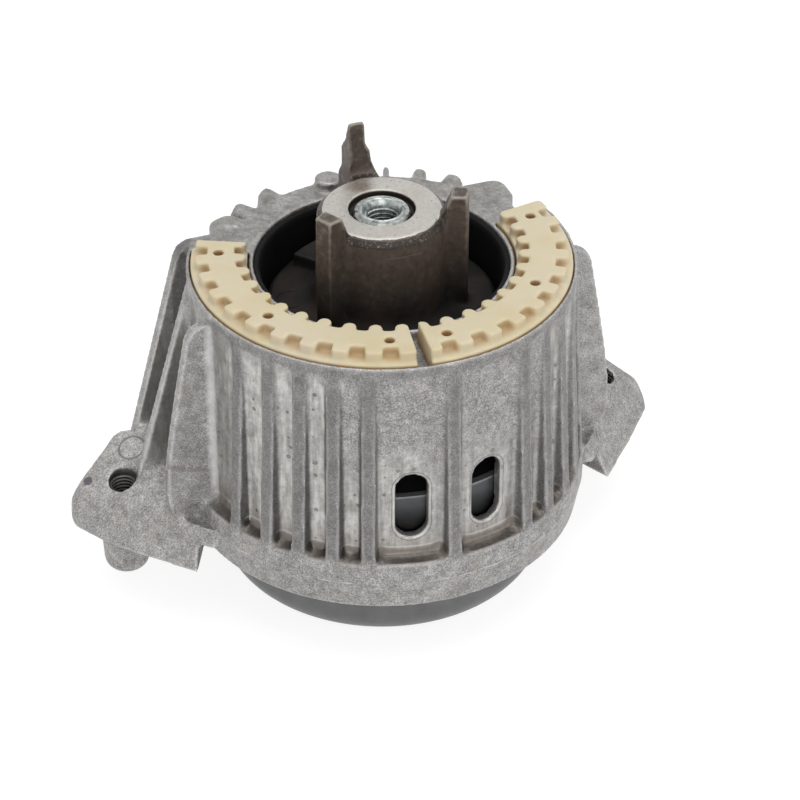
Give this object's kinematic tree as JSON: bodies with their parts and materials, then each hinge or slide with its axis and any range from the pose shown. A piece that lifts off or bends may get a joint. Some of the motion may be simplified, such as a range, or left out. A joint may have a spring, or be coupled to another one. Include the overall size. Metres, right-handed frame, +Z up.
{
  "type": "engine mount",
  "caption": "Fluid-filled engine mount: a ribbed cast housing with threaded ears round a cast core on a rubber cone, with cream stop pads in the rim and a pressed bottom cap.",
  "frame": {"origin": "on the core's vertical axis, at the flat underside of the bottom cap", "axes": "+Z up along the core's axis and out of its threaded insert, X through the two ears, -Y towards the side with the two windows"},
  "size_m": [0.2334, 0.1519, 0.1698],
  "materials": {
    "cast_housing": "as cast, shot blasted, speckled grey",
    "cream_pad": "moulded, satin",
    "cast_core": "as cast, brown bonding primer, machined face left light",
    "zinc_insert": "turned, zinc plated",
    "black_rubber": "moulded, matt",
    "spring_steel_ring": "drawn steel, dark primer",
    "black_polymer": "glass-filled, matt",
    "grey_cap": "pressed sheet, dark grey coat"
  },
  "bodies": {
    "root": {"housing": "cast_housing", "stop_pad_left": "cream_pad", "stop_pad_right": "cream_pad", "core": "cast_core", "threaded_insert": "zinc_insert", "throat_lining": "black_rubber", "main_spring": "black_rubber", "spring_ring": "spring_steel_ring", "orifice_plate_upper": "black_polymer", "orifice_plate_lower": "black_polymer", "decoupler_membrane": "black_rubber", "rolling_diaphragm": "black_rubber", "bottom_cap": "grey_cap"}
  },
  "joints": []
}
